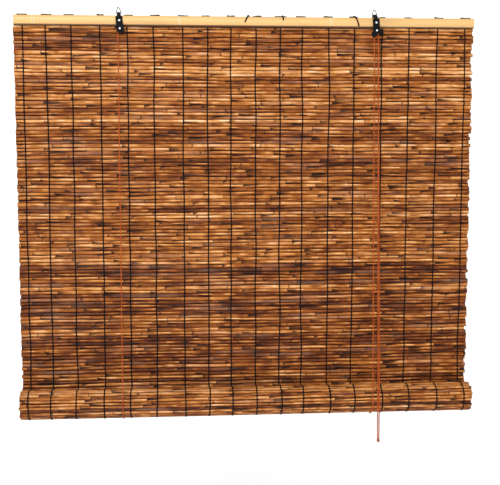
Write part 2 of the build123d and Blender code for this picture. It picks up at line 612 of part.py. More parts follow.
# Below the lock both cords lie on the front of the roll and end in one knot.
PULL_STARTS = {"a": (pull_x, cross_groove_y), "b": (pull_x, right_y)}
PULL_FEET_X = {letter: pull_x + spread for letter, spread in PULL_SPREAD.items()}
knot_x = pull_x
for letter, (start_x, start_y) in PULL_STARTS.items():
    way = (pull_guide_z - PULL_TOP_Z) / (pull_guide_z - ROLL_Z)
    top_x = start_x + (PULL_FEET_X[letter] - start_x) * way
    top_y = start_y + (PULL_Y - start_y) * way
    cord(
        f"pull_cord_{letter}_exit",
        [straight((start_x, start_y, pull_guide_z), (top_x, top_y, PULL_TOP_Z))],
    )
    foot_x = knot_x + (KNOT_GAP / 2 if letter == "a" else -KNOT_GAP / 2)
    upper_run = Vector(PULL_FEET_X[letter], PULL_Y, ROLL_Z) - Vector(top_x, top_y, PULL_TOP_Z)
    lower_run = Vector(foot_x, PULL_Y, PULL_FOOT_Z) - Vector(PULL_FEET_X[letter], PULL_Y, ROLL_Z)
    bend = upper_run.get_angle(lower_run)
    bend_radius = 0.45 * lower_run.length / tan(radians(bend / 2))
    print(f"pull_cord_{letter}: bend {bend:.2f} degrees, radius {bend_radius:.0f}")
    hanging = FilletPolyline(
        (top_x, top_y, PULL_TOP_Z),
        (PULL_FEET_X[letter], PULL_Y, ROLL_Z),
        (foot_x, PULL_Y, PULL_FOOT_Z),
        radius=bend_radius,
        mode=Mode.PRIVATE,
    )
    cord(f"pull_cord_{letter}", [hanging])

with BuildPart() as pull_knot:
    with BuildSketch(Plane.XY.offset(PULL_FOOT_Z - FIT)):
        with Locations((knot_x, PULL_Y)):
            Circle(KNOT_D / 2)
    extrude(amount=-KNOT_LENGTH)
    fillet(pull_knot.edges().filter_by(GeomType.CIRCLE), 1.6)
save(pull_knot.part, "pull_cord_knot")

print(f"reeds hanging {len(upper_heights)} + {len(lower_heights)}, in the outer turn {len(rolled_places)}")
print(f"rail top {RAIL_TOP_Z:.2f}, foot {RAIL_FOOT_Z:.2f}, axle {left_axle_z:.2f}, roll {ROLL_Y:.2f} {ROLL_Z:.2f}")
print(f"front run y {FRONT_RUN_Y:.2f}, rear run y {REAR_RUN_Y:.2f}, pull y {PULL_Y:.2f}")
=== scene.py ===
import json
import math
import random

import bpy
import numpy as np
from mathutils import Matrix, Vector


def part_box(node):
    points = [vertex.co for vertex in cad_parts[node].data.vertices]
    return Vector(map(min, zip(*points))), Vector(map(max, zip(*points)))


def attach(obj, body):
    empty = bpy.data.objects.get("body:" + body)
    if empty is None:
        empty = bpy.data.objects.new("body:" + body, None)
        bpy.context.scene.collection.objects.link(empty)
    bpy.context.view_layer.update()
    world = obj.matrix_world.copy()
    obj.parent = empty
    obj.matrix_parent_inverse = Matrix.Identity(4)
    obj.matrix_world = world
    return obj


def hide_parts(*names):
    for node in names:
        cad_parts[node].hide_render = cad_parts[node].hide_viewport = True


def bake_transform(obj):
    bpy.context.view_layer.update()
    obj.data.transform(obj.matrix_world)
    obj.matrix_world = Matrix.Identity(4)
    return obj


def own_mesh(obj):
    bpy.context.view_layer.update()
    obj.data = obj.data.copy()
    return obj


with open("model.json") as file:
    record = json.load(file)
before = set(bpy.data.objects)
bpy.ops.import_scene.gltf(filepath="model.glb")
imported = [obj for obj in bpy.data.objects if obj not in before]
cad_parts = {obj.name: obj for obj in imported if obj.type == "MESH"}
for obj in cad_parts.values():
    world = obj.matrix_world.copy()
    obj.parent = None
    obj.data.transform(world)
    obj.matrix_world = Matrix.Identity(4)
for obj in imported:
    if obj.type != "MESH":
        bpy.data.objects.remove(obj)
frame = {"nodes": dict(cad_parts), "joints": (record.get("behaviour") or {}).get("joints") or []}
nodes = frame["nodes"]
joints = {joint["name"]: joint for joint in frame["joints"]}
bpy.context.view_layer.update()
MM = 0.001

# ---- camera ---------------------------------------------------------------------------------

YAW = 0.0827  # radians, like the pitch
PITCH = 0.1113
camera_data = bpy.data.cameras.new("camera")
camera_data.sensor_width = 36.0
camera_data.lens = 72.0
camera = bpy.data.objects.new("camera", camera_data)
bpy.context.scene.collection.objects.link(camera)
camera.location = Vector((-159.8, -1984.8, -236.3)) * MM
camera.rotation_euler = (math.pi / 2 - PITCH, 0.0, -YAW)
bpy.context.scene.camera = camera


# ---- materials ------------------------------------------------------------------------------


class Shader:
    """One node material, with short ways to add its nodes. Inputs are sockets or plain values."""

    def __init__(self, name, roughness=0.5, metallic=0.0, specular=0.5):
        self.material = bpy.data.materials.new(name)
        self.material.use_nodes = True
        self.tree = self.material.node_tree
        self.bsdf = self.tree.nodes["Principled BSDF"]
        self.bsdf.inputs["Roughness"].default_value = roughness
        self.bsdf.inputs["Metallic"].default_value = metallic
        self.bsdf.inputs["Specular IOR Level"].default_value = specular

    def put(self, socket, value):
        if isinstance(value, bpy.types.NodeSocket):
            self.tree.links.new(value, socket)
        else:
            socket.default_value = value

    def math(self, operation, *values, clamp=False):
        node = self.tree.nodes.new("ShaderNodeMath")
        node.operation = operation
        node.use_clamp = clamp
        for socket, value in zip(node.inputs, values):
            self.put(socket, value)
        return node.outputs[0]

    def attribute(self, name):
        node = self.tree.nodes.new("ShaderNodeAttribute")
        node.attribute_name = name
        return node.outputs["Fac"]

    def place(self):
        """The surface point in the object's own frame, as x, y, z and the whole vector."""
        coordinates = self.tree.nodes.new("ShaderNodeTexCoord").outputs["Object"]
        split = self.tree.nodes.new("ShaderNodeSeparateXYZ")
        self.put(split.inputs[0], coordinates)
        return split.outputs[0], split.outputs[1], split.outputs[2], coordinates

    def vector(self, x, y, z):
        node = self.tree.nodes.new("ShaderNodeCombineXYZ")
        for socket, value in zip(node.inputs, (x, y, z)):
            self.put(socket, value)
        return node.outputs[0]

    def scaled(self, x, y, z, *rates):
        """The point x, y, z with each part multiplied by its own rate."""
        return self.vector(*(self.math("MULTIPLY", part, rate) for part, rate in zip((x, y, z), rates)))

    def noise(self, vector, scale=1.0, detail=2.0, roughness=0.5):
        node = self.tree.nodes.new("ShaderNodeTexNoise")
        self.put(node.inputs["Vector"], vector)
        node.inputs["Scale"].default_value = scale
        node.inputs["Detail"].default_value = detail
        node.inputs["Roughness"].default_value = roughness
        return node.outputs["Fac"]

    def white(self, vector):
        node = self.tree.nodes.new("ShaderNodeTexWhiteNoise")
        node.noise_dimensions = "3D"
        self.put(node.inputs["Vector"], vector)
        return node.outputs["Value"]

    def span(self, value, start, end, low=0.0, high=1.0):
        """value from start to end becomes low to high, with smooth ends."""
        node = self.tree.nodes.new("ShaderNodeMapRange")
        node.interpolation_type = "SMOOTHSTEP"
        self.put(node.inputs["Value"], value)
        node.inputs["From Min"].default_value = start
        node.inputs["From Max"].default_value = end
        node.inputs["To Min"].default_value = low
        node.inputs["To Max"].default_value = high
        return node.outputs["Result"]

    def ramp(self, value, stops):
        node = self.tree.nodes.new("ShaderNodeValToRGB")
        self.put(node.inputs["Fac"], value)
        elements = node.color_ramp.elements
        while len(elements) < len(stops):
            elements.new(0.5)
        for element, (position, colour) in zip(elements, stops):
            element.position = position
            element.color = (*colour, 1.0)
        return node.outputs["Color"]

    def mix(self, share, first, second, blend="MIX"):
        node = self.tree.nodes.new("ShaderNodeMix")
        node.data_type = "RGBA"
        node.blend_type = blend
        self.put(node.inputs[0], share)
        for socket, value in ((node.inputs[6], first), (node.inputs[7], second)):
            self.put(socket, (*value, 1.0) if isinstance(value, tuple) else value)
        return node.outputs[2]

    def bump(self, height, distance, strength=1.0):
        node = self.tree.nodes.new("ShaderNodeBump")
        node.inputs["Strength"].default_value = strength
        node.inputs["Distance"].default_value = distance
        self.put(node.inputs["Height"], height)
        self.put(self.bsdf.inputs["Normal"], node.outputs["Normal"])

    def finish(self, colour, roughness=None):
        self.put(self.bsdf.inputs["Base Color"], colour)
        if roughness is not None:
            self.put(self.bsdf.inputs["Roughness"], roughness)
        return self.material


def reed_material():
    """Scorched reed: each stretch between two nodes has its own tone, with dark smears and streaks, plus
    painted shade and a painted highlight.

    side is the sine of the angle round the reed: -1 and 1 are where it touches its neighbours.
    """
    s = Shader("scorched_reed", roughness=0.55, specular=0.12)
    x, y, z, _ = s.place()
    seed = s.attribute("seed")
    along = s.math("ADD", s.math("MULTIPLY", x, s.attribute("nodes_per_metre")), s.attribute("shift"))
    stretch = s.math("FLOOR", along)
    part = s.math("SUBTRACT", along, stretch)
    row = s.math("MULTIPLY", seed, 977.0)
    tone = s.white(s.vector(stretch, row, 0.0))
    smear = s.white(s.vector(stretch, row, 5.0))
    slow = s.noise(s.vector(s.math("MULTIPLY", x, 9.0), row, 0.0), detail=3.0, roughness=0.6)
    quick = s.noise(s.vector(s.math("MULTIPLY", x, 34.0), row, 3.0), detail=2.0, roughness=0.6)
    fibre = s.noise(s.scaled(x, y, z, 60.0, 2600.0, 2600.0), detail=2.0)
    # painted shade: reeds lower down, and the roll's lower turns, come out darker, as if lit from above
    low = s.span(s.attribute("height"), -0.03, -0.77)
    value = s.math("ADD", s.math("MULTIPLY", tone, 0.12), s.math("MULTIPLY", seed, 0.30))
    for share, source in ((0.60, slow), (0.45, quick), (0.40, fibre)):
        value = s.math("ADD", value, s.math("MULTIPLY", s.math("SUBTRACT", source, 0.5), share))
    value = s.math("ADD", value, s.math("MULTIPLY", low, -0.14))
    value = s.math("ADD", value, 0.315)
    split = s.noise(s.scaled(x, y, z, 16.0, 480.0, 620.0), detail=2.0)
    value = s.math("SUBTRACT", value, s.span(split, 0.56, 0.70, 0.0, 0.30))
    value = s.math("ADD", value, s.span(split, 0.44, 0.30, 0.0, 0.12))
    side = s.attribute("side")
    glint = s.noise(s.vector(s.math("MULTIPLY", x, 26.0), row, 23.0), detail=2.0)
    lit = s.span(s.math("ABSOLUTE", s.math("ADD", side, 0.30)), 0.42, 0.08)
    value = s.math("ADD", value, s.math("MULTIPLY", s.span(glint, 0.46, 0.62, 0.0, 0.27), lit))
    centre = s.math("MULTIPLY", s.math("SUBTRACT", s.white(s.vector(stretch, row, 11.0)), 0.5), 1.7)
    away = s.math("ABSOLUTE", s.math("SUBTRACT", side, centre))
    reach = s.math("ADD", 0.02, s.math("MULTIPLY", s.math("MULTIPLY", smear, smear), 0.60))
    burnt = s.math("ADD", s.math("DIVIDE", part, reach), s.math("MULTIPLY", away, 1.3))
    burnt = s.math("MULTIPLY", s.span(burnt, 1.0, 0.5), s.span(smear, 0.05, 0.35))
    value = s.math("SUBTRACT", value, s.math("MULTIPLY", burnt, 0.66))
    colour = s.ramp(
        value,
        [
            (0.00, (0.010, 0.003, 0.002)),
            (0.17, (0.042, 0.009, 0.003)),
            (0.36, (0.150, 0.036, 0.006)),
            (0.54, (0.335, 0.108, 0.018)),
            (0.76, (0.600, 0.280, 0.092)),
            (1.00, (0.800, 0.550, 0.350)),
        ],
    )
    grey = s.span(s.noise(s.vector(s.math("MULTIPLY", x, 7.0), row, 9.0)), 0.52, 0.68, 0.0, 0.5)
    colour = s.mix(grey, colour, s.mix(0.50, colour, (0.380, 0.200, 0.125)))
    near_node = s.math("MINIMUM", part, s.math("SUBTRACT", 1.0, part))
    ring = s.span(near_node, 0.013, 0.005)
    colour = s.mix(s.math("MULTIPLY", ring, 0.80), colour, (0.045, 0.016, 0.007))
    # painted shade in the crevices where reeds touch, broken up by noise
    round_it = s.math("ADD", row, s.math("MULTIPLY", side, 1.6))
    gap = s.noise(s.vector(s.math("MULTIPLY", x, 19.0), round_it, 17.0), detail=3.0)
    depth = s.math("ADD", s.math("ABSOLUTE", side), s.math("MULTIPLY", s.math("SUBTRACT", gap, 0.5), 2.6))
    colour = s.mix(s.span(depth, 0.66, 1.00, 0.0, 0.94), colour, (0.020, 0.005, 0.003))
    end = s.attribute("end")
    colour = s.mix(s.span(end, 0.4, 0.6, 0.0, 0.80), colour, (0.400, 0.210, 0.080))
    # painted shade deep in the hollow of each reed end
    colour = s.mix(s.span(end, 1.4, 1.6), colour, (0.050, 0.022, 0.010))
    s.bump(s.math("ADD", fibre, s.math("MULTIPLY", ring, -0.8)), 0.25 * MM, 0.6)
    return s.finish(colour, s.span(quick, 0.3, 0.7, 0.36, 0.60))


# places of the bamboo's node lines along the rail, in millimetres
NODE_LINES = (-413.0, -133.0, 164.0)
# painted shade: cords above this height are painted dark, as in the rail's shadow
CORD_SHADE_Z = -38.0 * MM  # above this height a cord lies under the rail and is dark
rail_low, rail_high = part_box("front_rail")


def bamboo_material(name, tint, lines):
    """Split bamboo with long fibres, faint blotches, a few node lines and painted shade along its lower edge.
    """
    s = Shader(name, roughness=0.35, specular=0.5)
    x, y, z, vector = s.place()
    fibre = s.noise(s.scaled(x, y, z, 14.0, 1500.0, 1500.0), detail=4.0, roughness=0.65)
    blotch = s.noise(s.scaled(x, y, z, 7.0, 60.0, 60.0))
    colour = s.ramp(
        s.math("ADD", s.math("MULTIPLY", fibre, 0.45), s.math("MULTIPLY", blotch, 0.55)),
        [
            (0.25, tuple(0.62 * c for c in tint)),
            (0.48, tint),
            (0.75, tuple(min(1.0, 1.12 * c) for c in tint)),
        ],
    )
    waver = s.math("MULTIPLY", s.math("SUBTRACT", s.noise(vector, scale=160.0), 0.5), 1.6 * MM)
    ring = 0.0
    ridge = 0.0
    for line in lines:
        off = s.math("ABSOLUTE", s.math("ADD", s.math("SUBTRACT", x, line * MM), waver))
        ring = s.math("MAXIMUM", ring, s.span(off, 0.9 * MM, 0.3 * MM))
        ridge = s.math("MAXIMUM", ridge, s.span(off, 3.2 * MM, 1.0 * MM))
    colour = s.mix(s.math("MULTIPLY", ridge, 0.35), colour, (0.93, 0.80, 0.56))
    colour = s.mix(s.math("MULTIPLY", ring, 0.75), colour, (0.300, 0.160, 0.060))
    # painted shade: the lowest 3 mm of the rail darken into a shadow line
    rail_foot_shade = s.span(z, rail_low.z + 3.0 * MM, rail_low.z + 1.4 * MM, 0.0, 0.93)
    colour = s.mix(rail_foot_shade, colour, (0.070, 0.026, 0.008))
    relief = s.math("SUBTRACT", ridge, s.math("MULTIPLY", ring, 0.8))
    height = s.math("ADD", s.math("MULTIPLY", fibre, 0.12), relief)
    s.bump(height, 0.5 * MM, 0.8)
    s.bsdf.inputs["Coat Weight"].default_value = 0.08
    s.bsdf.inputs["Coat Roughness"].default_value = 0.35
    return s.finish(colour, s.span(fibre, 0.3, 0.7, 0.42, 0.60))


def thread_material():
    """Black twisted cotton."""
    s = Shader("black_cotton", roughness=0.92, specular=0.08)
    x, _, z, vector = s.place()
    twist = s.math("SINE", s.math("MULTIPLY", s.math("ADD", z, s.math("MULTIPLY", x, 1.6)), 5200.0))
    fuzz = s.noise(vector, scale=2600.0, detail=3.0)
    s.bump(s.math("ADD", s.math("MULTIPLY", twist, 0.4), fuzz), 0.15 * MM, 0.8)
    return s.finish(s.ramp(fuzz, [(0.3, (0.004, 0.003, 0.003)), (0.7, (0.014, 0.010, 0.009))]))


def cord_material():
    """Orange-red laid cord with a dull polyester shine, and painted shade where it lies under the rail."""
    s = Shader("laid_cord", roughness=0.66, specular=0.1)
    x, y, z, vector = s.place()
    fuzz = s.noise(vector, scale=3200.0, detail=3.0)
    patch = s.noise(vector, scale=45.0)
    ply = s.noise(s.scaled(x, y, z, 3800.0, 3800.0, 700.0), detail=2.0)
    colour = s.ramp(
        s.math("ADD", s.math("MULTIPLY", ply, 0.6), s.math("MULTIPLY", patch, 0.4)),
        [(0.30, (0.150, 0.024, 0.005)), (0.50, (0.340, 0.060, 0.011)), (0.72, (0.480, 0.115, 0.028))],
    )
    # painted shade on the stretches that run in the rail's shadow
    dark = s.span(z, CORD_SHADE_Z - 0.6 * MM, CORD_SHADE_Z + 0.6 * MM, 0.0, 0.92)
    colour = s.mix(dark, colour, (0.035, 0.012, 0.006))
    s.bump(s.math("ADD", fuzz, ply), 0.12 * MM, 0.7)
    return s.finish(colour)


def painted_steel_material():
    """Thin black lacquer on pressed steel, a little rubbed."""
    s = Shader("black_lacquered_steel", roughness=0.5, specular=0.06)
    vector = s.place()[3]
    grain = s.noise(vector, scale=900.0, detail=4.0, roughness=0.6)
    rub = s.noise(vector, scale=190.0, detail=5.0, roughness=0.7)
    lacquer = s.ramp(grain, [(0.3, (0.002, 0.002, 0.003)), (0.7, (0.006, 0.006, 0.007))])
    colour = s.mix(s.span(rub, 0.68, 0.78, 0.0, 0.35), lacquer, (0.060, 0.055, 0.050))
    s.bump(grain, 0.06 * MM, 0.6)
    return s.finish(colour, s.span(rub, 0.35, 0.70, 0.40, 0.60))


def bright_steel_material(name, dark, light, metallic, heads=()):
    """Faintly clouded steel, from dark to light. Where heads are given, it is dark beyond their middles."""
    s = Shader(name, roughness=0.3, metallic=metallic)
    x, _, z, vector = s.place()
    cloud = s.noise(vector, scale=420.0, detail=4.0, roughness=0.6)
    s.bump(cloud, 0.05 * MM, 0.5)
    colour = s.ramp(cloud, [(0.3, (dark, dark, dark)), (0.7, (light, light, light))])
    off = 1.0
    for middle in heads:
        across, up = s.math("SUBTRACT", x, middle.x), s.math("SUBTRACT", z, middle.z)
        square = s.math("ADD", s.math("MULTIPLY", across, across), s.math("MULTIPLY", up, up))
        off = s.math("MINIMUM", off, s.math("SQRT", square))
    if heads:
        colour = s.mix(s.span(off, 1.5 * MM, 2.1 * MM, 0.0, 0.94), colour, (0.030, 0.030, 0.034))
    return s.finish(colour, s.span(cloud, 0.3, 0.7, 0.22, 0.42))


def moulded_material():
    """Dark nylon of the small pulley wheels."""
    s = Shader("black_nylon", roughness=0.5, specular=0.4)
    vector = s.place()[3]
    speckle = s.noise(vector, scale=1300.0, detail=2.0)
    s.bump(speckle, 0.05 * MM, 0.5)
    return s.finish(s.ramp(speckle, [(0.3, (0.018, 0.018, 0.019)), (0.7, (0.034, 0.033, 0.033))]))


REED = reed_material()
BAMBOO = bamboo_material("bamboo_skin", (0.585, 0.345, 0.122), NODE_LINES)
BATTEN = bamboo_material("bamboo_batten", (0.640, 0.440, 0.200), (-285.0, 40.0, 352.0))
THREAD = thread_material()
CORD = cord_material()
BLACK_STEEL = painted_steel_material()
WIRE = bright_steel_material("dull_wire", 0.012, 0.035, 0.0)
RIVET_NODES = ["left_strap_rivet", "right_strap_rivet", "left_axle_rivet", "right_axle_rivet"]
PIN = bright_steel_material("bright_pin", 0.74, 0.92, 1.0)
HEAD_MIDDLES = [sum(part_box(name), Vector()) / 2 for name in RIVET_NODES]
RIVET = bright_steel_material("bright_rivet", 0.74, 0.92, 1.0, HEAD_MIDDLES)
NYLON = moulded_material()


def finish_node(names, material):
    """A CAD node that is shown as it is gets its finish, on every material slot."""
    for name in names:
        slots = nodes[name].material_slots
        if not slots:
            nodes[name].data.materials.append(material)
        for slot in slots:
            slot.material = material


# ---- mesh code ------------------------------------------------------------------------------


def square_to(line, across):
    """Two directions square to a line at each of its points: the one nearest across, then the other."""
    heading = np.gradient(line, axis=0)
    heading /= np.linalg.norm(heading, axis=1)[:, None]
    side = np.broadcast_to(np.asarray(across, float), line.shape)
    side = side - (side * heading).sum(1)[:, None] * heading
    side /= np.linalg.norm(side, axis=1)[:, None]
    return side, np.cross(heading, side)


class Tubes:
    """Closed tubes gathered into one mesh, with named numbers on their points."""

    def __init__(self):
        self.points = []
        self.faces = []
        self.values = {}
        self.count = 0

    def add(self, line, width, depth, across, sides, values=None):
        """A tube along line. width and depth are its half sizes, one number or one for each point.

        across is the direction of its width. values gives each number for the tube or for each point.
        """
        line = np.asarray(line, float)
        count = len(line)
        side, up = square_to(line, across)
        turn = np.arange(sides) * 2 * math.pi / sides
        width = np.broadcast_to(np.asarray(width, float), (count,))
        depth = np.broadcast_to(np.asarray(depth, float), (count,))
        rings = (
            line[:, None]
            + width[:, None, None] * np.cos(turn)[None, :, None] * side[:, None]
            + depth[:, None, None] * np.sin(turn)[None, :, None] * up[:, None]
        )
        self.rings(rings, values or {})

    def rings(self, rings, values):
        """A closed skin over rings of points, an array of stations by sides by three."""
        count, sides = rings.shape[:2]
        start = self.count
        self.points.append(rings.reshape(-1, 3))
        ring = np.arange(sides)
        following = (ring + 1) % sides
        for i in range(count - 1):
            near = start + i * sides
            far = near + sides
            self.faces += np.stack([near + ring, near + following, far + following, far + ring], 1).tolist()
        self.faces.append((start + ring[::-1]).tolist())
        self.faces.append((start + (count - 1) * sides + ring).tolist())
        for name, value in values.items():
            value = np.asarray(value, float)
            spread = value if value.ndim == 2 else np.broadcast_to(value.reshape(-1, 1), (count, sides))
            self.values.setdefault(name, []).append(spread.reshape(-1))
        self.count += count * sides

    def object(self, name, material):
        mesh = bpy.data.meshes.new(name)
        mesh.from_pydata(np.concatenate(self.points).tolist(), [], self.faces)
        for key, value in self.values.items():
            mesh.attributes.new(key, "FLOAT", "POINT").data.foreach_set("value", np.concatenate(value))
        mesh.update()
        mesh.shade_smooth()
        mesh.materials.append(material)
        made = bpy.data.objects.new(name, mesh)
        bpy.context.scene.collection.objects.link(made)
        return made


# ---- reeds ----------------------------------------------------------------------------------

_, upper_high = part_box("upper_reeds")
hanging_low, hanging_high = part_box("hanging_reeds")
roll_low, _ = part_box("rolled_mat")
REED_R = (hanging_high.y - hanging_low.y) / 2
MAT_Y = (hanging_high.y + hanging_low.y) / 2
REED_REACH = 4.5 * MM  # how far the reeds go past the ends of the CAD reeds
MAT_END = upper_high.x + REED_REACH
HANGING_COUNT = 97
UPPER_COUNT = 10
REED_SIDES = 8
first_z = hanging_high.z - REED_R
last_z = hanging_low.z + REED_R
REED_STEP = (first_z - last_z) / (HANGING_COUNT - 1)
ROLL_Y, ROLL_Z = joints["roll_turn"]["pos_m"][1:]
ROLL_R = ROLL_Z - roll_low.z
LAYER_STEP = 8.0 * MM
STATION = 20 * MM
MAT_PRESSES = 2.4 * MM  # how far the hanging mat pushes in the turns under it
SPARSE_TURN = 380.0  # past this turn of the spiral, in degrees, the reeds have fewer stations
LIT_TOP_TURN = 165.0  # past this turn the reeds get less painted shade: painted light on the roll's top
PRESS = 0.92  # how close reeds lie, as a share of touching
# sideways rate, downwards rate, phase and size in millimetres
SWAYS = [(9.0, 14.0, 0.4, 0.45), (21.0, -23.0, 2.1, 0.28), (38.0, 31.0, 4.0, 0.16)]

dice = random.Random(17)


class Reed:
    """One reed's own sizes: its middle line is along X at y, z."""

    def __init__(self, y, z, radius, taper=0.0, swaying=False):
        self.radius = radius
        self.swaying = swaying
        self.y = y
        self.z = z
        self.nodes_per_metre = 1 / dice.uniform(0.075, 0.150)
        self.shift = dice.uniform(100.0, 900.0)
        self.seed = dice.random()
        self.taper = taper
        self.left = -MAT_END + dice.triangular(-1.0, 2.5, -0.3) * MM
        self.right = MAT_END - dice.triangular(-1.0, 6.0, 0.0) * MM
        self.waves = [
            (dice.uniform(5.0, 16.0), dice.uniform(0.0, 6.3), dice.uniform(0.03, 0.12) * MM) for _ in range(4)
        ]

    def shape(self, x, first):
        return sum(size * np.sin(rate * x + phase) for rate, phase, size in self.waves[first : first + 2])

    def sway(self, x):
        """The mat's own unevenness, which neighbouring reeds share."""
        if not self.swaying:
            return 0.0 * x
        return sum(
            size * MM * np.sin(across * x + down * self.z + phase) for across, down, phase, size in SWAYS
        )

    def add_to(self, tubes, spacing, height, outward=math.pi):
        """Stations a spacing apart and three at every node, with a hollow at each end.

        outward is the angle from +Y to the side that shows. The shader paints shade on the sides that touch
        other reeds.
        """
        first_node = math.ceil(self.left * self.nodes_per_metre + self.shift)
        last_node = math.floor(self.right * self.nodes_per_metre + self.shift)
        knots = [(i - self.shift) / self.nodes_per_metre for i in range(first_node, last_node + 1)]
        knots = [x for x in knots if self.left + 6 * MM < x < self.right - 6 * MM]
        plain = np.linspace(self.left, self.right, max(3, round((self.right - self.left) / spacing)))
        stations = [x for x in plain[1:-1] if all(abs(x - knot) > 3 * MM for knot in knots)]
        for knot in knots:
            stations += [knot - 1.5 * MM, knot, knot + 1.5 * MM]
        edge = 0.4 * MM
        x = np.array([self.left, self.left + edge, *sorted(stations), self.right - edge, self.right])
        swell = np.array([1.05 if any(abs(v - knot) < 0.1 * MM for knot in knots) else 1.0 for v in x])
        radius = self.radius * swell * (1 + self.taper * x / MAT_END + self.shape(x, 0) / (3.2 * MM))
        bore = 0.42 * self.radius
        rim = 0.93 * self.radius
        step = 0.02 * MM
        deep = 4 * MM
        x = np.concatenate([[x[0] + deep, x[0] + step], x, [x[-1] - step, x[-1] - deep]])
        radius = np.concatenate([[bore, bore, rim], radius[1:-1], [rim, bore, bore]])
        end = np.zeros(len(x))
        end[[0, -1]] = 2.0
        end[[1, 2, -2, -3]] = 1.0
        turn = outward + np.arange(REED_SIDES) * 2 * math.pi / REED_SIDES
        rings = np.empty((len(x), REED_SIDES, 3))
        rings[:, :, 0] = x[:, None]
        rings[:, :, 1] = (self.y + self.shape(x, 0))[:, None] + radius[:, None] * np.cos(turn)
        rings[:, :, 2] = (self.z + self.shape(x, 2) + self.sway(x))[:, None] + radius[:, None] * np.sin(turn)
        tubes.rings(
            rings,
            {
                "seed": self.seed,
                "nodes_per_metre": self.nodes_per_metre,
                "shift": self.shift,
                "height": height,
                "end": end,
                "side": np.tile(np.sin(turn - outward), (len(x), 1)),
            },
        )


def packed(count, top, foot):
    """Reeds of different thickness that lie close on each other from top to foot."""
    radii = [dice.triangular(0.80, 1.20, 1.0) for _ in range(count)]
    scale = (top - foot) / (2 * PRESS * sum(radii))
    reeds = []
    z = top
    for i, share in enumerate(radii):
        radius = share * scale
        taper = (-1) ** i * dice.uniform(0.04, 0.11)
        z -= PRESS * radius
        y = MAT_Y - max(0.0, radius - REED_R) - dice.uniform(0.0, 0.7) * MM
        reeds.append(Reed(y, z, radius, taper, True))
        z -= PRESS * radius
    return reeds


held_z = [upper_high.z - REED_R, first_z + REED_STEP * (UPPER_COUNT - 1)]
upper = [Reed(MAT_Y, z, 0.98 * REED_R) for z in held_z]
upper += packed(UPPER_COUNT - 2, held_z[1] - REED_R, hanging_high.z)
hanging = packed(HANGING_COUNT, hanging_high.z, hanging_low.z)

upper_tubes = Tubes()
for reed in upper:
    reed.add_to(upper_tubes, STATION, reed.z)
upper_mat = upper_tubes.object("upper_reed_rows", REED)
hanging_tubes = Tubes()
for reed in hanging:
    reed.add_to(hanging_tubes, STATION, reed.z)
hanging_mat = hanging_tubes.object("hanging_reed_rows", REED)


def spiral_radius(turn):
    """Middle of the rolled mat at this turn in degrees: half a turn round, then closing in."""
    outer = ROLL_R - REED_R
    if turn < 180.0:
        return outer
    if turn < 360.0:
        return outer - LAYER_STEP * (turn - 180.0) / 180.0
    return outer - LAYER_STEP * turn / 360.0


rolled = []
rolled_turns = []
turn = 0.0
while spiral_radius(turn) > 1.2 * REED_R:
    radius = spiral_radius(turn)
    angle = math.radians(turn)
    thickness = REED_R * dice.triangular(0.86, 1.16, 1.0)
    away = radius - max(0.0, thickness - REED_R)
    if turn > 270.0:
        away -= MAT_PRESSES * max(0.0, math.cos(angle)) ** 4
    rolled.append(Reed(ROLL_Y + away * math.cos(angle), ROLL_Z - away * math.sin(angle), thickness))
    rolled_turns.append(turn)
    turn += math.degrees(2 * PRESS * thickness / radius)
roll_tubes = Tubes()
for reed, turn in zip(rolled, rolled_turns):
    spacing = STATION if turn < SPARSE_TURN else 4 * STATION
    # painted light: the roll's top turns get much less of the painted shade
    height = ROLL_Z * (0.2 if turn > LIT_TOP_TURN else 1.0)
    reed.add_to(roll_tubes, spacing, height, -math.radians(turn))
roll_mat = roll_tubes.object("rolled_reed_rows", REED)

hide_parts("upper_reeds")
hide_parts("hanging_reeds")
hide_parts("rolled_mat")
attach(upper_mat, "rail_and_mat")
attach(hanging_mat, "rail_and_mat")
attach(roll_mat, "roll")
TRAVEL = joints["roll_lift"]["range_m"][1]
UPPER_FOOT = ROLL_Z + TRAVEL + ROLL_R


def gather(piece):
    """Gives a hanging piece its own copy of its mesh."""
    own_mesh(piece)


gather(hanging_mat)

# ---- warp threads ---------------------------------------------------------------------------

THREAD_HALF = 1.35 * MM
THREAD_DEPTH = 0.5 * MM
THREAD_SIDES = 5
LEAN = 0.42 * MM
WRAP = math.radians(50.0)


def strand(reeds, outward, x, waver):
    """A strand that bows over each reed and dips between reeds, slanting as twined strands do.

    outward gives each reed's direction towards the strand, as y and z.
    """
    points = []
    centres = [np.array((0.0, reed.y, reed.z)) for reed in reeds]
    for i, reed in enumerate(reeds):
        before = centres[max(0, i - 1)]
        after = centres[min(len(reeds) - 1, i + 1)]
        out = np.array((0.0, *outward[i]))
        down = after - before
        down -= down.dot(out) * out
        down /= np.linalg.norm(down)
        reach = reed.radius + THREAD_DEPTH + 0.05 * MM
        shift = x + waver(i)
        at_end = i in (0, len(reeds) - 1)
        half = 0.25 * np.linalg.norm(after - before) * (2 if at_end else 1)
        dip = math.sqrt(max(reach**2 - half**2, 1e-6))
        rest = 0.28 * MM
        steps = [
            (LEAN, out * dip - down * (half - rest)),
            (0.55 * LEAN, (out * math.cos(WRAP) - down * math.sin(WRAP)) * reach),
            (0.0, out * reach),
            (-0.55 * LEAN, (out * math.cos(WRAP) + down * math.sin(WRAP)) * reach),
            (-LEAN, out * dip + down * (half - rest)),
        ]
        points += [centres[i] + (shift + lean, 0.0, 0.0) + move for lean, move in steps]
    return points


def waver_of(seed, size):
    """A slow sideways wander down a thread and a small jitter at each reed."""
    wander = random.Random(seed)
    waves = [
        (wander.uniform(0.05, 0.35), wander.uniform(0.0, 6.3), wander.uniform(0.2, 0.6)) for _ in range(4)
    ]
    jitter = [wander.uniform(-0.22, 0.22) * MM for _ in range(260)]
    return lambda i: size * sum(a * math.sin(rate * i + phase) for rate, phase, a in waves) + jitter[i]


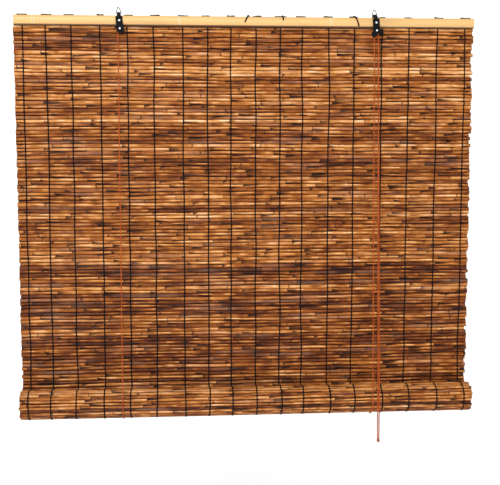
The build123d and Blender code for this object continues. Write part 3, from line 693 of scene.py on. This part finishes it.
def knotty(line):
    """Half widths along a strand, wider at the first and last of each reed's five points."""
    return THREAD_HALF * np.array([1.0 + 0.45 * (k % 5 in (0, 4)) for k in range(len(line))])


thread_names = [f"warp_thread_{number:02d}" for number in range(1, 19)]
thread_x = [sum(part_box(name)[k].x for k in (0, 1)) / 2 for name in thread_names]
below_rail = upper[2:]
OUT_AGAIN = [(math.cos(math.radians(t)), -math.sin(math.radians(t))) for t in rolled_turns]
outer_turn = [i for i, t in enumerate(rolled_turns) if t < 352.0]
rolled_threads = Tubes()

for number, (name, x) in enumerate(zip(thread_names, thread_x)):
    waver = waver_of(number, 0.9 * MM)
    top_part = Tubes()
    long_part = Tubes()
    for toward in (-1, 1):
        rows = below_rail + hanging
        both = strand(rows, [(toward, 0.0)] * len(rows), x, waver)
        cut = 5 * len(below_rail)
        widths = knotty(both)
        top_part.add(both[: cut + 1], widths[: cut + 1], THREAD_DEPTH, (1, 0, 0), THREAD_SIDES)
        long_part.add(both[cut:], widths[cut:], THREAD_DEPTH, (1, 0, 0), THREAD_SIDES)
    upper_thread = top_part.object(f"{name}_upper", THREAD)
    lower_thread = long_part.object(f"{name}_lower", THREAD)
    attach(upper_thread, "rail_and_mat")
    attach(lower_thread, "rail_and_mat")
    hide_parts(name)
    gather(lower_thread)
    rows = [rolled[i] for i in outer_turn]
    drift = waver_of(100 + number, 0.9 * MM)
    line = strand(rows, [OUT_AGAIN[i] for i in outer_turn], x, drift)
    rolled_threads.add(line, knotty(line), THREAD_DEPTH, (1, 0, 0), THREAD_SIDES)
roll_threads = rolled_threads.object("rolled_warp_threads", THREAD)
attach(roll_threads, "roll")

# ---- thread ends on the head rail -----------------------------------------------------------


def smooth(points, steps):
    """A soft curve through a few points by Catmull-Rom."""
    points = [np.array(p, float) for p in points]
    padded = [2 * points[0] - points[1], *points, 2 * points[-1] - points[-2]]
    line = []
    for a, b, c, d in zip(padded, padded[1:], padded[2:], padded[3:]):
        for k in range(steps):
            t = k / steps
            square = 2 * a - 5 * b + 4 * c - d
            cube = 3 * b - a - 3 * c + d
            line.append(0.5 * (2 * b + (c - a) * t + square * t**2 + cube * t**3))
    line.append(points[-1])
    return line


tails = Tubes()
TAIL_R = 1.4 * MM
knot_z = rail_high.z + 1.3 * MM
for number, x in enumerate(thread_x):
    pick = random.Random(300 + number)
    knot = []
    for k in range(22):
        angle = 2 * math.pi * 2 * k / 21
        knot.append(
            (
                x + (1.8 + 0.5 * math.cos(1.5 * angle)) * math.cos(angle) * MM,
                MAT_Y + (1.5 + 0.4 * math.cos(1.5 * angle)) * math.sin(angle) * MM,
                knot_z + 0.7 * math.sin(1.5 * angle) * MM,
            )
        )
    tails.add(knot, 0.8 * MM, 0.7 * MM, (0, 0, 1), 6)
    for way in (-1, 1):
        reach = pick.uniform(4.0, 13.0) * MM
        lift = pick.uniform(-0.8, 0.6) * MM
        lean = pick.uniform(-3.0, 1.0) * MM
        curl = pick.uniform(-0.8, 0.3) * MM
        start = (x + way * 1.2 * MM, MAT_Y, knot_z)
        points = [
            start,
            (x + way * (1.2 * MM + 0.35 * reach), MAT_Y + 0.3 * lean, knot_z + lift),
            (x + way * (1.2 * MM + 0.72 * reach), MAT_Y + 0.8 * lean, knot_z + 0.85 * lift),
            (x + way * (1.2 * MM + reach), MAT_Y + lean, knot_z + curl),
        ]
        thick = pick.uniform(0.85, 1.35) * TAIL_R
        tails.add(smooth(points, 5), thick, thick, (0, 1, 0.2), 5)
for x, slant, drop in ((4.0, -10.0, 11.0), (68.0, 1.0, 6.5), (207.0, 11.5, 17.0)):
    start = np.array((x * MM, MAT_Y, knot_z))
    points = [
        start,
        start + np.array((0.3 * slant, -4.6, 1.4)) * MM,
        (x * MM + 0.5 * slant * MM, rail_low.y + 1.6 * MM, rail_high.z + 0.1 * MM),
        (x * MM + 0.8 * slant * MM, rail_low.y - 0.75 * MM, rail_high.z - 0.5 * drop * MM),
        (x * MM + slant * MM, rail_low.y - 0.8 * MM, rail_high.z - drop * MM),
    ]
    tails.add(smooth(points, 6), TAIL_R, TAIL_R, (1, 0, 0), 5)
thread_ends = tails.object("thread_ends", THREAD)
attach(thread_ends, "rail_and_mat")

# ---- cords ----------------------------------------------------------------------------------

CORD_R = 1.15 * MM
STRANDS = 3
LAY = 8.5 * MM


def spline_line(points):
    """The line of a NURBS spline with these control points, in metres."""
    curve = bpy.data.curves.new("route", "CURVE")
    curve.dimensions = "3D"
    curve.resolution_u = 24
    spline = curve.splines.new("NURBS")
    spline.points.add(len(points) - 1)
    for point, place in zip(spline.points, points):
        point.co = (*place, 1.0)
    spline.order_u = 3
    spline.use_endpoint_u = True
    carrier = bpy.data.objects.new("route", curve)
    bpy.context.scene.collection.objects.link(carrier)
    mesh = bpy.data.meshes.new_from_object(carrier)
    line = np.array([v.co for v in mesh.vertices])
    bpy.data.objects.remove(carrier)
    bpy.data.curves.remove(curve)
    bpy.data.meshes.remove(mesh)
    return line


def even(line, spacing):
    """The same line with points an even spacing apart."""
    length = np.concatenate([[0.0], np.cumsum(np.linalg.norm(np.diff(line, axis=0), axis=1))])
    count = max(4, round(length[-1] / spacing) + 1)
    at = np.linspace(0.0, length[-1], count)
    return np.stack([np.interp(at, length, line[:, k]) for k in range(3)], 1), at


def rope(name, line, across, sides=5):
    """Three strands laid round a line."""
    line, at = even(np.asarray(line, float), LAY / 6)
    side, up = square_to(line, across)
    strand_r = 0.58 * CORD_R
    tubes = Tubes()
    for k in range(STRANDS):
        angle = 2 * math.pi * (at / LAY + k / STRANDS)
        away = CORD_R - 0.95 * strand_r
        path = line + away * (np.cos(angle)[:, None] * side + np.sin(angle)[:, None] * up)
        tubes.add(path, strand_r, strand_r, across, sides)
    return tubes.object(name, CORD)


left_axle = joints["left_pulley_turn"]["pos_m"]
lock_axle = joints["lock_pulley_turn"]["pos_m"]
GROOVE_R = 4.15 * MM
BIGHT_R = 32.45 * MM
LEFT_Y = -7.7 * MM
RIGHT_Y = -9.2 * MM
CROSS_Y = -6.2 * MM
REAR_Y = 9.45 * MM
FRONT_RUN_Y = ROLL_Y - BIGHT_R
REAR_RUN_Y = ROLL_Y + BIGHT_R
bight_x = {"left": -250.0 * MM, "right": 246.5 * MM}
axles = {"left": left_axle, "right": lock_axle}
groove_y = {"left": LEFT_Y, "right": RIGHT_Y}
for side in ("left", "right"):
    x = bight_x[side]
    axle_x, axle_z = axles[side][0], axles[side][2]
    head = (axle_x - GROOVE_R, groove_y[side], axle_z - 3 * MM)
    foot = (x, FRONT_RUN_Y, ROLL_Z)
    front = rope(f"{side}_lift_cord_front", [foot, head], (1, 0, 0))
    tie = (axle_x, REAR_Y, axle_z - 6 * MM)
    rear = rope(f"{side}_lift_cord_rear", [(x, REAR_RUN_Y, ROLL_Z), tie], (1, 0, 0))
    corner = BIGHT_R * math.tan(math.pi / 8)
    around = [
        (-BIGHT_R, 0.0),
        (-BIGHT_R, -corner),
        (-corner, -BIGHT_R),
        (corner, -BIGHT_R),
        (BIGHT_R, -corner),
        (BIGHT_R, 0.0),
    ]
    under = spline_line([(x, ROLL_Y + y, ROLL_Z + z) for y, z in around])
    bight = rope(f"{side}_lift_cord_bight", under, (1, 0, 0))
    for piece, node, body in (
        (front, f"{side}_front_run", "rail_and_mat"),
        (rear, f"{side}_rear_run", "rail_and_mat"),
        (bight, f"{side}_bight", "cord_cradle"),
    ):
        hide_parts(node)
        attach(piece, body)
    gather(front)
    gather(rear)

pull_x = lock_axle[0] + GROOVE_R
guide_z = lock_axle[2] - 10 * MM
left_up = left_axle[0] - GROOVE_R
left_top = left_axle[2] + GROOVE_R
lock_top = lock_axle[2] + GROOVE_R
NEAR = 4.6 * MM
UNDER_RAIL_Y = -5.0 * MM
cross = [
    (left_up, LEFT_Y, left_axle[2] - 3 * MM),
    (left_up, LEFT_Y, left_top - NEAR),
    (left_up, LEFT_Y, left_top),
    (left_up + NEAR, LEFT_Y, left_top),
    (left_axle[0] + 12 * MM, LEFT_Y, left_top),
    (left_axle[0] + 60 * MM, UNDER_RAIL_Y, left_top),
    (lock_axle[0] - 60 * MM, UNDER_RAIL_Y, lock_top),
    (lock_axle[0] - 14 * MM, CROSS_Y, lock_top),
    (pull_x - NEAR, CROSS_Y, lock_top),
    (pull_x, CROSS_Y, lock_top),
    (pull_x, CROSS_Y, lock_top - NEAR),
    (pull_x, CROSS_Y, guide_z),
]
over = [
    (lock_axle[0] - GROOVE_R, RIGHT_Y, lock_axle[2] - 3 * MM),
    (lock_axle[0] - GROOVE_R, RIGHT_Y, lock_axle[2]),
    (lock_axle[0] - GROOVE_R, RIGHT_Y, lock_top - 0.4 * GROOVE_R),
    (lock_axle[0] - 0.6 * GROOVE_R, RIGHT_Y, lock_top),
    (lock_axle[0] + 0.6 * GROOVE_R, RIGHT_Y, lock_top),
    (pull_x, RIGHT_Y, lock_top - 0.4 * GROOVE_R),
    (pull_x, RIGHT_Y, lock_axle[2]),
    (pull_x, RIGHT_Y, guide_z),
]
for name, node, points in (
    ("left_cord_along_rail", "cross_cord", cross),
    ("right_cord_over_wheel", "right_cord_over_lock", over),
):
    piece = rope(name, spline_line(points), (0, 1, 0.02))
    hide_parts(node)
    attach(piece, "rail_and_mat")

PULL_Y = FRONT_RUN_Y - 1.3 * MM
PULL_TOP_Z = UPPER_FOOT + 4 * MM
KNOT_GAP = 2.6 * MM
knot_low, knot_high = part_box("pull_cord_knot")
PULL_FOOT_Z = knot_high.z + 0.1 * MM
way = (guide_z - PULL_TOP_Z) / (guide_z - ROLL_Z)
pulls = {"a": (CROSS_Y, 2.2 * MM, KNOT_GAP / 2), "b": (RIGHT_Y, -2.0 * MM, -KNOT_GAP / 2)}
for letter, (start_y, spread, gap) in pulls.items():
    top = (pull_x + spread * way, start_y + (PULL_Y - start_y) * way, PULL_TOP_Z)
    exit_piece = rope(f"pull_cord_{letter}_start", [(pull_x, start_y, guide_z), top], (1, 0, 0))
    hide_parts(f"pull_cord_{letter}_exit")
    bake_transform(exit_piece)
    route = [top, (pull_x + spread, PULL_Y, ROLL_Z), (pull_x + gap, PULL_Y, PULL_FOOT_Z)]
    line = spline_line(route)
    piece = rope(f"pull_cord_{letter}_hanging", line, (1, 0, 0), 6)
    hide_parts(f"pull_cord_{letter}")
    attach(piece, "pull_cords")

knot_tubes = Tubes()
knot_middle = (knot_low + knot_high) / 2
knot_size = (knot_high - knot_low) / 2
for phase in (0.0, 0.9):
    loop = []
    for k in range(61):
        angle = 2 * math.pi * k / 60
        ring = (2 + math.cos(3 * angle + phase)) / 3
        loop.append(
            (
                knot_middle.x + (knot_size.x - CORD_R) * ring * math.cos(2 * angle + phase),
                knot_middle.y + (knot_size.y - CORD_R) * ring * math.sin(2 * angle + phase),
                knot_middle.z + (knot_size.z - CORD_R) * math.sin(3 * angle + phase) * 0.98,
            )
        )
    knot_tubes.add(loop, 0.98 * CORD_R, 0.98 * CORD_R, (0.1, 0.2, 1.0), 8)
pull_knot = knot_tubes.object("pull_cord_end_knot", CORD)
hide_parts("pull_cord_knot")
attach(pull_knot, "pull_cords")

# ---- finishes of the pieces shown as the CAD has them ---------------------------------------

finish_node(["front_rail"], BAMBOO)
finish_node(["rear_rail"], BATTEN)
finish_node(["left_ring", "right_ring"], WIRE)
finish_node(["rail_pins"], PIN)
finish_node(RIVET_NODES, RIVET)
finish_node(
    [
        "left_strap",
        "right_strap",
        "left_pulley_cage",
        "lock_housing",
        "lock_pawl",
        "lock_pawl_pin",
    ],
    BLACK_STEEL,
)
finish_node(["left_wheel", "right_wheel"], NYLON)
finish_node(["left_cord_tie", "right_cord_tie"], CORD)

# ---- floor and light ------------------------------------------------------------------------

pale = Shader("studio_paper", roughness=0.9, specular=0.1)
paper_noise = pale.noise(pale.place()[3], scale=3.0)
pale.bsdf.inputs["Emission Color"].default_value = (1.0, 1.0, 1.0, 1.0)
pale.bsdf.inputs["Emission Strength"].default_value = 0.35
PAPER = pale.finish(pale.ramp(paper_noise, [(0.0, (0.90, 0.90, 0.90)), (1.0, (0.93, 0.93, 0.93))]))


def sweep_backdrop():
    """A pale floor that curves up into a wall."""
    floor_z = -1.25
    wall_y = 6.0
    wall_top = 6.0
    reach = 9.0
    bend = 1.6
    bend_steps = 8
    profile = [(-reach, floor_z), (wall_y - bend, floor_z)]
    for k in range(1, bend_steps + 1):
        angle = math.pi / 2 * k / bend_steps
        profile.append((wall_y - bend + bend * math.sin(angle), floor_z + bend * (1 - math.cos(angle))))
    profile.append((wall_y, wall_top))
    points = [(x, y, z) for y, z in profile for x in (-reach, reach)]
    faces = [(2 * k, 2 * k + 1, 2 * k + 3, 2 * k + 2) for k in range(len(profile) - 1)]
    mesh = bpy.data.meshes.new("backdrop")
    mesh.from_pydata(points, [], faces)
    mesh.shade_smooth()
    mesh.materials.append(PAPER)
    backdrop = bpy.data.objects.new("backdrop", mesh)
    bpy.context.scene.collection.objects.link(backdrop)


sweep_backdrop()


def area_light(name, place, target, size, power):
    data = bpy.data.lights.new(name, "AREA")
    data.shape = "RECTANGLE"
    data.size, data.size_y = size
    data.energy = power
    light = bpy.data.objects.new(name, data)
    bpy.context.scene.collection.objects.link(light)
    light.location = place
    light.rotation_euler = (Vector(target) - Vector(place)).to_track_quat("-Z", "Y").to_euler()


area_light("key", (-0.9, -2.6, 1.6), (0.0, 0.0, -0.4), (1.6, 1.2), 104.0)
area_light("fill", (1.6, -2.6, 0.2), (0.0, 0.0, -0.4), (1.8, 1.8), 14.0)
world = bpy.data.worlds.new("studio")
world.use_nodes = True
world.node_tree.nodes["Background"].inputs["Color"].default_value = (1.0, 1.0, 1.0, 1.0)
world.node_tree.nodes["Background"].inputs["Strength"].default_value = 0.62
bpy.context.scene.world = world
bpy.context.scene.view_settings.view_transform = "Standard"
